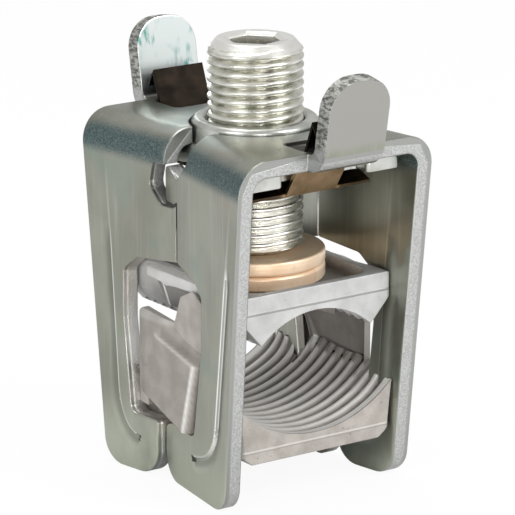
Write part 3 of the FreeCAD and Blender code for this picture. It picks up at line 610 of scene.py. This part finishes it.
# A closed surface through rings of points: each row goes round the axis, and both ends close in a middle point
def ringSurface(name, rows):
    rows = np.asarray(rows, float)
    count, around = rows.shape[:2]
    index = np.arange(count * around).reshape(count, around)
    after = np.roll(index, -1, axis=1)
    quads = np.stack([index[:-1], after[:-1], after[1:], index[1:]], axis=-1).reshape(-1, 4)
    first, last = count * around, count * around + 1
    starts = [(first, after[0, i], index[0, i]) for i in range(around)]
    ends = [(last, index[-1, i], after[-1, i]) for i in range(around)]
    points = np.vstack([rows.reshape(-1, 3), rows[0].mean(axis=0), rows[-1].mean(axis=0)]) * mm
    mesh = bpy.data.meshes.new(name)
    mesh.from_pydata(points, [], quads.tolist() + starts + ends)
    return mesh


def screwRows(s):
    low, high = (c.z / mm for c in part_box("clamp_screw"))
    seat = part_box("upper_thrust_disc")[1].z / mm
    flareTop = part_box("upper_saddle")[1].z / mm - s["tray"] - s["counterbore"]
    turn = np.linspace(0, 2 * np.pi, s["around"], endpoint=False)

    def row(radius, height):
        radius = np.broadcast_to(radius, turn.shape)
        height = np.broadcast_to(height, turn.shape)
        return np.stack([radius * np.cos(turn), radius * np.sin(turn), height], axis=-1)

    # Spigot and its swaged end, as radius and height; the small steps round the corners off
    spigot, flare = s["spigot"], s["flare"]
    foot = [
        (s["middle"], low), (spigot - 0.3, low), (flare - 0.1, flareTop - 0.6), (flare, flareTop - 0.4),
        (flare, flareTop - 0.05), (flare - 0.1, flareTop), (spigot, flareTop), (spigot, seat),
        (spigot + 0.02, seat + 0.01), (s["seatRadius"], seat + 0.01),
    ]
    rows = [row(radius, height) for radius, height in foot]
    # Thread: the radius falls from crest to root with the height less the turn, within the leads of both ends
    steps = int((high - seat - s["threadFrom"]) / s["pitch"] * s["perPitch"])
    for height in np.linspace(seat + s["threadFrom"], high - s["threadTo"], steps):
        phase = (height / s["pitch"] - turn / (2 * np.pi)) % 1
        thread = s["crest"] - s["depth"] * (1 - np.sin(np.pi * phase) ** s["fullness"])
        top = s["topRadius"] + (high - height) * (s["crest"] - s["topRadius"]) / s["chamfer"]
        bottom = s["footRadius"] + (height - seat) * s["footSlope"]
        rows.append(row(np.minimum(np.minimum(thread, top), bottom), height))
    # Socket, as radius and depth: a chamfered hexagon with a cone at its end
    flat, deep = s["socketFlats"] / 2, s["socketDepth"]
    wedge = (turn - math.radians(s["socketTurn"])) % (np.pi / 3) - np.pi / 6
    hexagon = flat / np.cos(wedge)
    socket = [
        (s["topRadius"] - 0.12, 0), (hexagon + 0.55, 0), (hexagon + 0.5, 0.03), (hexagon + 0.02, 0.5), (hexagon, 0.6),
        (hexagon, deep - 1.4), (flat - 0.2, deep - 1.2), (s["middle"], deep),
    ]
    return rows + [row(radius, high - depth) for radius, depth in socket]


# Brighter at the top end and low on the thread
def screwFinish():
    bright = Finish("screwZinc", Metallic=1.0)
    cloud = bright.noise(3, stretch=(1, 1, 2.5))
    grain = bright.noise(0.25, detail=4)
    height = bright.axes()[2]
    colour = bright.mix(cloud.rise(0.3, 0.7), screwTones["dark"], screwTones["light"])
    ends = height.rise(*screwEnds["top"]).most(1 - height.rise(*screwEnds["foot"]))
    colour = bright.mix(ends * screwEnds["share"], colour, screwTones["ends"])
    return bright.wear(Base_Color=colour, Roughness=0.22 + 0.14 * cloud, Normal=bright.bump(grain, 0.025))


screwMesh = ringSurface("clamp_screw_threaded", screwRows(screwSizes))
screw = newPiece("clamp_screw_threaded", screwMesh, "screw", "clamp_screw")
smooth(screw, 38)
dress(screw, screwFinish())


# ---- Thrust discs
discTones = {
    # top: painted dark reflection for the upper disc's top face
    "dark": (0.93, 0.66, 0.44), "light": (1.0, 0.80, 0.60), "top": (0.36, 0.26, 0.165), "stain": (0.45, 0.29, 0.17),
}
discTop = (38.55, 38.8)


# Turned bronze, with a painted dark reflection on the upper disc's top
def discFinish(name):
    bronze = Finish(name, Metallic=0.3)
    x, y, z = bronze.axes()
    radius = (x * x + y * y).root()
    turning = bronze.noise(0.35, stretch=(0.02, 0.02, 1)) + (radius * 9).wave() * 0.08
    cloud = bronze.noise(5, detail=4, shift=(0, 17, 0))
    stain = bronze.noise(1.6, stretch=(1, 1, 0.4))
    colour = bronze.mix(cloud.rise(0.3, 0.7), discTones["dark"], discTones["light"])
    # Painted dark reflection on the upper disc's top
    colour = bronze.mix(z.rise(*discTop) * 0.85, colour, discTones["top"])
    colour = bronze.mix(stain.rise(0.6, 0.8) * 0.4, colour, discTones["stain"])
    return bronze.wear(Base_Color=colour, Roughness=0.3 + 0.15 * stain, Normal=bronze.bump(turning, 0.03))


for node, body in (("upper_thrust_disc", "screw"), ("lower_thrust_disc", "pressure")):
    finishNode(node, body, 0.15, discFinish(node + "Bronze"))


# ---- Saddles
print("saddles")
castings = {
    "upperCast": {
        "dark": (0.43, 0.43, 0.425), "light": (0.535, 0.535, 0.53), "pit": (0.3, 0.3, 0.3), "metal": 0.55,
        "parting": 33.0, "seam": (0.22, 0.22, 0.21),
    },
    "lowerCast": {
        "dark": (0.31, 0.287, 0.26), "light": (0.42, 0.39, 0.36), "pit": (0.15, 0.135, 0.12), "metal": 0.3,
        "parting": 9.7, "seam": (0.6, 0.58, 0.54),
    },
}
# Tones of the painted shade and the painted highlights on the castings
castTones = {"paintedShade": (0.085, 0.075, 0.064), "paintedLight": (0.86, 0.85, 0.83)}
frontFace = 17.0  # the parting line is seen from here outwards


def castFinish(name, tones):
    cast = Finish(name, Metallic=tones["metal"], Specular_IOR_Level=0.4)
    _, y, z = cast.axes()
    seam = (1 - (z - tones["parting"]).size().rise(0.05, 0.3)) * y.size().rise(frontFace, frontFace + 0.3)
    skin = cast.noise(0.5, detail=5, roughness=0.62)
    flow = cast.noise(3.4, detail=4)
    pits = cast.noise(0.9, detail=2).rise(0.70, 0.77)
    grains = cast.noise(0.28, roughness=0.7)
    colour = cast.mix(flow.rise(0.3, 0.7), tones["dark"], tones["light"])
    colour = cast.mix(grains.rise(0.4, 0.7) * 0.3, colour, tones["light"])
    colour = cast.mix(pits * 0.6, colour, tones["pit"])
    colour = cast.mix(seam * 0.6, colour, tones["seam"])
    # Painted shade, then painted highlights
    colour = cast.mix(cast.painted("paintedShade"), colour, castTones["paintedShade"])
    colour = cast.mix(cast.painted("paintedLight") * (0.55 + 0.45 * grains), colour, castTones["paintedLight"])
    height = skin * 0.9 + flow * 0.8 + grains * 0.3 - pits * 1.1 + seam * 2.5
    return cast.wear(Base_Color=colour, Roughness=0.45 + 0.15 * flow, Normal=cast.bump(height, 0.055))


upperCast, lowerCast = (castFinish(name, tones) for name, tones in castings.items())

# Ribs of arch and trough: each groove's flanks become one rounded wave round the axis
ribs = {
    "pitch": 2.5, "depth": 0.74, "crest": 0.04, "fade": 0.8, "fadeOver": 0.5, "cut": 0.16, "half": 17.5,
    "side": 15.25, "shine": 17.2, "paintedShade": 0.62,
}
bowSkin = (-0.05, 0.8)  # a bow's own faces lie this far outside its radius
# crestShine: strength of the painted highlight on the crests
arch = {"height": 15.7, "radius": 16.2, "lowest": 20.0, "highest": 33.0, "crestShine": 0.2}
trough = {"height": 32.9, "radius": 22.0, "lowest": 9.0, "highest": 27.0, "crestShine": 0.85}


def radialOf(spot, bow):
    return math.hypot(spot.x, spot.z - bow["height"]) - bow["radius"]


def ribDepth(y):
    phase = (np.abs(y) / ribs["pitch"] + 0.5) % 1 - 0.5
    wave = np.cos(np.pi * phase) ** 2
    ends = np.clip((ribs["half"] - ribs["fade"] - np.abs(y)) / ribs["fadeOver"], 0, 1)
    return (ribs["depth"] * wave**1.15 - ribs["crest"]) * ends


# Paint weights of a casting: painted shade darkens it, painted highlights brighten it
def paintLayers(layers):
    return layers.get("paintedShade") or layers.new("paintedShade"), layers.get("paintedLight") or layers.new("paintedLight")


def waveRibs(form, bow):
    paintedShade, paintedLight = paintLayers(form.verts.layers.float)

    def onBow(face):
        if abs(face.normal.y) > 0.95:
            return False
        for vert in face.verts:
            spot = vert.co / mm
            inside = abs(spot.x) < ribs["side"] and bow["lowest"] < spot.z < bow["highest"]
            if not (inside and bowSkin[0] < radialOf(spot, bow) < bowSkin[1]):
                return False
        return True

    rows = np.arange(-ribs["half"] + ribs["cut"], ribs["half"], ribs["cut"])
    cutAlong(form, onBow, [(0, y, 0) for y in rows], (0, 1, 0))
    for vert in {v for f in form.faces if onBow(f) for v in f.verts}:
        spot = vert.co / mm
        sunk = float(ribDepth(spot.y))
        grow = (bow["radius"] + sunk) / math.hypot(spot.x, spot.z - bow["height"])
        # Painted shade deepening in the rib valleys, painted highlight on the crests
        share = clamped(sunk / ribs["depth"])
        vert[paintedShade] = ribs["paintedShade"] * share**1.6
        vert[paintedLight] = bow["crestShine"] * clamped(1.15 - share * 2.2) if abs(spot.y) < ribs["shine"] else 0
        vert.co.x = spot.x * grow * mm
        vert.co.z = ((spot.z - bow["height"]) * grow + bow["height"]) * mm


# A cast piece of convex parts, each given by its corners for the left side and turned half round for the right
def castPiece(name, parts, turned, body, width, angle):
    form = bmesh.new()
    for part in parts:
        corners = [form.verts.new((x * turned * mm, y * turned * mm, z * mm)) for x, y, z in part]
        bmesh.ops.convex_hull(form, input=corners)
    bmesh.ops.dissolve_limit(form, angle_limit=math.radians(1), verts=form.verts, edges=form.edges)
    mesh = bpy.data.meshes.new(name)
    closed(form, mesh)
    piece = newPiece(name, mesh, body)
    rounded(piece, width, angle, 3)
    return piece


sides = (("left", 1), ("right", -1))

# Guide lug in the window: an upright nose under a band
lug = {
    "band": [(-12.4, -7.4, 36.0), (-12.4, -7.4, 33.1), (-14.5, -5.6, 35.2), (-14.5, -5.6, 33.5), (-15.1, 5.2, 35.5),
             (-15.1, 5.2, 33.5), (-14.6, 10.8, 35.2), (-14.6, 10.8, 33.5), (-13.0, 11.4, 36.0), (-13.0, 11.4, 33.1)],
    "nose": [(-12.4, -5.6, 33.6), (-15.08, 5.2, 33.6), (-13.2, 11.0, 33.6), (-12.4, -3.6, 29.8), (-13.6, 5.2, 29.2),
             (-12.6, 10.2, 30.8), (-12.2, 8.0, 29.6)],
    "bandFrom": 33.3, "noseAt": 5.2, "noseHalf": 0.3, "back": 13.5, "backHalf": 7.3,
    "bandShine": 0.35, "noseShine": 0.6, "shades": (0.62, 0.7),
}
# Shaded places behind the lug and under the lip of the tray
behindLug = {"inner": 11.2, "low": 28, "high": 33.2, "half": 13, "lip": 33.8, "lipHalf": 0.45, "shade": 0.5}


def makeLug(tag, turned):
    nose = castPiece("saddle_lug_" + tag, (lug["band"], lug["nose"]), turned, "pressure", 0.3, 12)
    form = opened(nose.data)
    paintedShade, paintedLight = paintLayers(form.faces.layers.float)
    # Painted highlights on the band and along the nose's ridge, painted shade on the other faces, a little less on
    # those turned one way
    for face in form.faces:
        spot, across = face.calc_center_median() / mm, face.normal.y * turned
        if spot.z > lug["bandFrom"]:
            face[paintedLight] = lug["bandShine"]
        elif abs(spot.y * turned - lug["noseAt"]) < lug["noseHalf"]:
            face[paintedLight] = lug["noseShine"]
        else:
            face[paintedShade] = lug["shades"][0] if across > 0.1 else lug["shades"][1]
    closed(form, nose.data)
    smooth(nose, 50)
    dress(nose, upperCast)


def makeUpperSaddle():
    piece = newPiece("upper_saddle_finished", copyOf("upper_saddle"), "pressure", "upper_saddle")
    rounded(piece, 0.35, 63)
    form = opened(piece.data)
    waveRibs(form, arch)
    paintedShade = paintLayers(form.verts.layers.float)[0]
    near = behindLug
    for vert in form.verts:
        spot = vert.co / mm
        across = abs(spot.x)
        if across > lug["back"] and abs(spot.y) < lug["backHalf"]:  # the plain nose goes back behind the lug
            vert.co.x = math.copysign(lug["back"] * mm, spot.x)
        behind = across > near["inner"] and near["low"] < spot.z < near["high"] and abs(spot.y) < near["half"]
        if behind or abs(spot.z - near["lip"]) < near["lipHalf"] and across < lug["back"]:
            vert[paintedShade] = near["shade"]
    closed(form, piece.data)
    smooth(piece, 40)
    dress(piece, upperCast)
    for tag, turned in sides:
        makeLug(tag, turned)


makeUpperSaddle()

# The cheeks: a thick leaning block below a crease, a thin fin above it, rounded off on the far side.
# Places are (y, z) on the left cheek; the right one is the same turned round.
cheek = {
    "outer": 17.3, "root": 15.4, "face": 17.2, "grid": 0.35, "gridAcross": (-9.4, 9.4), "gridUp": (10.0, 33.2),
    "crease": (1.9, 24.4), "creaseSlope": 0.25, "slopeReach": 2.2, "finDepth": 1.65, "finThins": 0.55,
    "ridge": (-3.9, 11.7), "ridgeSlope": -0.257, "endReach": 2.2, "endDepth": 1.8,
    "roundFrom": 6.4, "roundReach": 2.4, "roundDepth": 0.35,
    "humpFrom": 25, "humpOver": 1.6, "humpRise": 1.1, "humpY": -1.5, "humpYOver": 1.2,
    "tuckFrom": 6, "tuckOver": 2, "tuck": 0.5, "shoulder": (15, 17.7), "shoulderShade": 0.6,
}
# Strengths and reaches of the painted highlights and the painted shade on the cheeks
cheekShine = {
    "ridgeHalf": 0.55, "ridgeAbove": 0.2, "creaseHalf": 0.35, "creaseTo": 4.5, "crease": 0.5,
    "humpFrom": 26.2, "humpY": -0.5, "hump": 0.2,
}
cheekShade = {
    "beyondGap": 0.5, "beyondOver": 0.7, "beyond": 0.72, "aboveOver": 0.5, "aboveReach": 2.3, "aboveFade": 1.2,
    "aboveTo": 3, "above": 0.5, "farFrom": 5.5, "farOver": 2, "far": 0.4, "least": 0.25,
}
# Parts that stand against the cheek, by their corners: the fin is an outline (y, z) between two x
fin = {"outline": [(1.5, 26.3), (-0.85, 32.7), (-4.35, 34.4), (-6.95, 32.8), (-6.9, 24.0), (1.2, 24.4)],
       "inner": 15.25, "outer": 15.72}
webs = {
    "long": [(-12.4, 12.8, 11.6), (-12.4, 8.4, 11.6), (-12.4, 12.8, 13.9), (-12.4, 8.4, 13.9), (-14.5, 12.8, 15.3),
             (-15.7, 11.2, 16.6), (-16.0, 8.4, 17.0), (-14.5, 12.8, 11.6), (-15.7, 11.2, 11.6), (-16.0, 8.4, 11.6)],
    "short": [(-12.2, -11.4, 11.6), (-12.2, -7.6, 11.6), (-12.2, -11.4, 13.7), (-12.2, -7.6, 13.7),
              (-13.9, -11.4, 15.0), (-14.8, -8.3, 16.0), (-14.8, -7.6, 16.0), (-13.9, -11.4, 11.6),
              (-14.8, -8.3, 11.6), (-14.8, -7.6, 11.6)],
}
# Upper edge of the trough on the right, from front to rear: (y, x, z); the left side is the same turned round
lip = [
    (-17.5, 15.35, 17.25), (-15.5, 15.1, 17.2), (-13.2, 14.8, 17.2), (-12.7, 14.9, 17.3), (-11.0, 16.0, 18.1),
    (-9.6, 16.6, 18.6), (-7.5, 16.7, 18.8), (-4.0, 16.4, 18.5), (0.0, 16.5, 18.6), (4.0, 16.7, 19.0),
    (7.0, 16.4, 19.0), (8.8, 15.0, 18.4), (10.4, 14.1, 17.8), (13.6, 14.6, 17.8), (17.0, 15.2, 17.5),
    (17.5, 15.3, 17.3),
]
rim = {
    "from": 11.6, "cut": 0.3, "cutTo": 15.3, "faceTo": 15.4, "to": 15.5, "top": 17.6, "flatFrom": (13, 16.2),
    "skin": (-0.1, 0.8), "fullRow": 12.6, "most": 17.0,
}


def onBowl(spot):
    return rim["skin"][0] < radialOf(spot, trough) < rim["skin"][1]


# The trough's outer vertices, each with its side and how deep it lies below the bowl (None on the flat edge beside
# the bowl), and how far out the bowl reaches at each y of either side
def rimVerts(form):
    moves, rows = [], {1: {}, -1: {}}
    for vert in form.verts:
        spot = vert.co / mm
        across = abs(spot.x)
        if not rim["from"] <= across <= rim["to"] or spot.z > rim["top"]:
            continue
        side = int(math.copysign(1, spot.x))
        if onBowl(spot):
            row, y = rows[side], round(spot.y, 2)
            moves.append((vert, side, radialOf(spot, trough)))
            row[y] = max(row.get(y, 0), across)
        elif spot.z > rim["flatFrom"][1] and across > rim["flatFrom"][0]:
            moves.append((vert, side, None))
    reach = {}
    for side, row in rows.items():
        known = sorted(y for y in row if row[y] > rim["fullRow"])
        reach[side] = (known, [row[y] for y in known])
    return moves, reach


# Draws the outer strips of the trough out and up to the lip, along a curve that leaves the bowl smoothly
def raiseLip(form):
    edge, radius = np.array(lip), trough["radius"]

    def nearRim(face):
        spot = face.calc_center_median() / mm
        return rim["from"] - rim["cut"] < abs(spot.x) < rim["faceTo"] and onBowl(spot) and spot.z < rim["top"]

    places = np.arange(rim["from"], rim["cutTo"], rim["cut"])
    cutAlong(form, nearRim, [(side * x, 0, 0) for side in (-1, 1) for x in places], (1, 0, 0))
    moves, reach = rimVerts(form)
    start = math.asin(rim["from"] / radius)
    foot = np.array([rim["from"], trough["height"] - radius * math.cos(start)])
    tangent = np.array([math.cos(start), math.sin(start)])
    for vert, side, radial in moves:
        spot = vert.co / mm
        y = spot.y * side
        head = np.array([np.interp(y, edge[:, 0], edge[:, 1]), np.interp(y, edge[:, 0], edge[:, 2])])
        share, sunk = 1.0, 0.0
        if radial is not None:
            sunk = max(radial, 0)
            begin = (radius + sunk) * math.sin(start)
            share = clamped((abs(spot.x) - begin) / (np.interp(spot.y, *reach[side]) - begin))
        if share == 0:
            continue
        middle = foot + tangent * 0.5 * np.linalg.norm(head - foot)
        place = (1 - share)**2 * foot + 2 * share * (1 - share) * middle + share**2 * head
        slope = (1 - share) * (middle - foot) + share * (head - middle)
        slope /= np.linalg.norm(slope)
        place = place + np.array([slope[1], -slope[0]]) * sunk
        vert.co.x, vert.co.z = side * min(place[0], rim["most"]) * mm, place[1] * mm


# Height of the crease at y, and y of the ridge at a height
def creaseAt(y):
    return cheek["crease"][1] + (y - cheek["crease"][0]) * cheek["creaseSlope"]


def ridgeAt(z):
    return cheek["ridge"][0] + (z - cheek["ridge"][1]) * cheek["ridgeSlope"]


# How far the cheek's outer face lies back: above the crease, beyond the ridge, and where it is rounded off
def cheekDepth(y, z):
    above = clamped((z - creaseAt(y)) / cheek["slopeReach"])
    slope = cheek["finDepth"] * above * (1 - cheek["finThins"] * clamped((y - 0.5) / 3))
    end = cheek["endDepth"] * clamped((ridgeAt(z) - y) / cheek["endReach"]) * (1 - above)
    far = cheek["roundDepth"] * clamped((y - cheek["roundFrom"]) / cheek["roundReach"]) ** 1.6
    return max(slope, end, far)


# Painted highlights along ridge, crease and hump; painted shade beyond the ridge, above the crease and on the far
# side, and a little everywhere
def cheekPaint(y, z):
    crease, ridge, shine, shade = creaseAt(y), ridgeAt(z), cheekShine, cheekShade
    onRidge = max(1 - abs(y - ridge) / shine["ridgeHalf"], 0) * (z < crease + shine["ridgeAbove"])
    onCrease = shine["crease"] * max(1 - abs(z - crease) / shine["creaseHalf"], 0) * (ridge < y < shine["creaseTo"])
    onHump = shine["hump"] * (z > shine["humpFrom"] and y > shine["humpY"])
    beyond = shade["beyond"] * clamped((ridge - shade["beyondGap"] - y) / shade["beyondOver"]) * (z < crease)
    above = shade["above"] * clamped((z - crease) / shade["aboveOver"]) * (y < shade["aboveTo"])
    above *= clamped((crease + shade["aboveReach"] - z) / shade["aboveFade"])
    far = shade["far"] * clamped((y - shade["farFrom"]) / shade["farOver"])
    return max(beyond, above, shade["least"], far), clamped(max(onRidge, onCrease, onHump))


def shapeCheek(vert, paintedShade, paintedLight):
    spot, c = vert.co / mm, cheek
    sign = math.copysign(1, spot.x)
    y, z = -sign * spot.y, spot.z
    share = (abs(spot.x) - c["root"]) / (c["outer"] - c["root"])
    vert.co.x -= sign * cheekDepth(y, z) * share * mm
    if z > c["humpFrom"]:
        rise = min((z - c["humpFrom"]) / c["humpOver"], 1) * clamped((y - c["humpY"]) / c["humpYOver"])
        vert.co.z += c["humpRise"] * rise * mm
    vert.co.y -= sign * c["tuck"] * clamped((y - c["tuckFrom"]) / c["tuckOver"]) * mm
    vert[paintedShade], vert[paintedLight] = cheekPaint(y, z)


def makeLowerSaddle():
    piece = newPiece("lower_saddle_finished", copyOf("lower_saddle"), "cage", "lower_saddle")
    rounded(piece, 0.3, 63)
    form = opened(piece.data)
    waveRibs(form, trough)
    raiseLip(form)
    paintedShade, paintedLight = paintLayers(form.verts.layers.float)

    def onCheek(face):
        return abs(face.calc_center_median().x) > cheek["face"] * mm and abs(face.normal.x) > 0.9

    cutAlong(form, onCheek, [(0, y, 0) for y in np.arange(*cheek["gridAcross"], cheek["grid"])], (0, 1, 0))
    cutAlong(form, onCheek, [(0, 0, z) for z in np.arange(*cheek["gridUp"], cheek["grid"])], (0, 0, 1))
    for vert in form.verts:
        spot = vert.co / mm
        if abs(spot.x) > cheek["root"]:
            shapeCheek(vert, paintedShade, paintedLight)
        # Painted shade on the shoulder above the cheek
        elif abs(spot.x) > cheek["shoulder"][0] and spot.z > cheek["shoulder"][1]:
            vert[paintedShade] = cheek["shoulderShade"]
    closed(form, piece.data)
    smooth(piece, 40)
    dress(piece, lowerCast)
    finCorners = [(-x, y, z) for x in (fin["inner"], fin["outer"]) for y, z in fin["outline"]]
    for tag, turned in sides:
        parts = (finCorners, webs["long"], webs["short"])
        upright = castPiece("cheek_fin_" + tag, parts, turned, "cage", 0.2, 30)
        smooth(upright, 50)
        dress(upright, lowerCast)


makeLowerSaddle()

print("done")
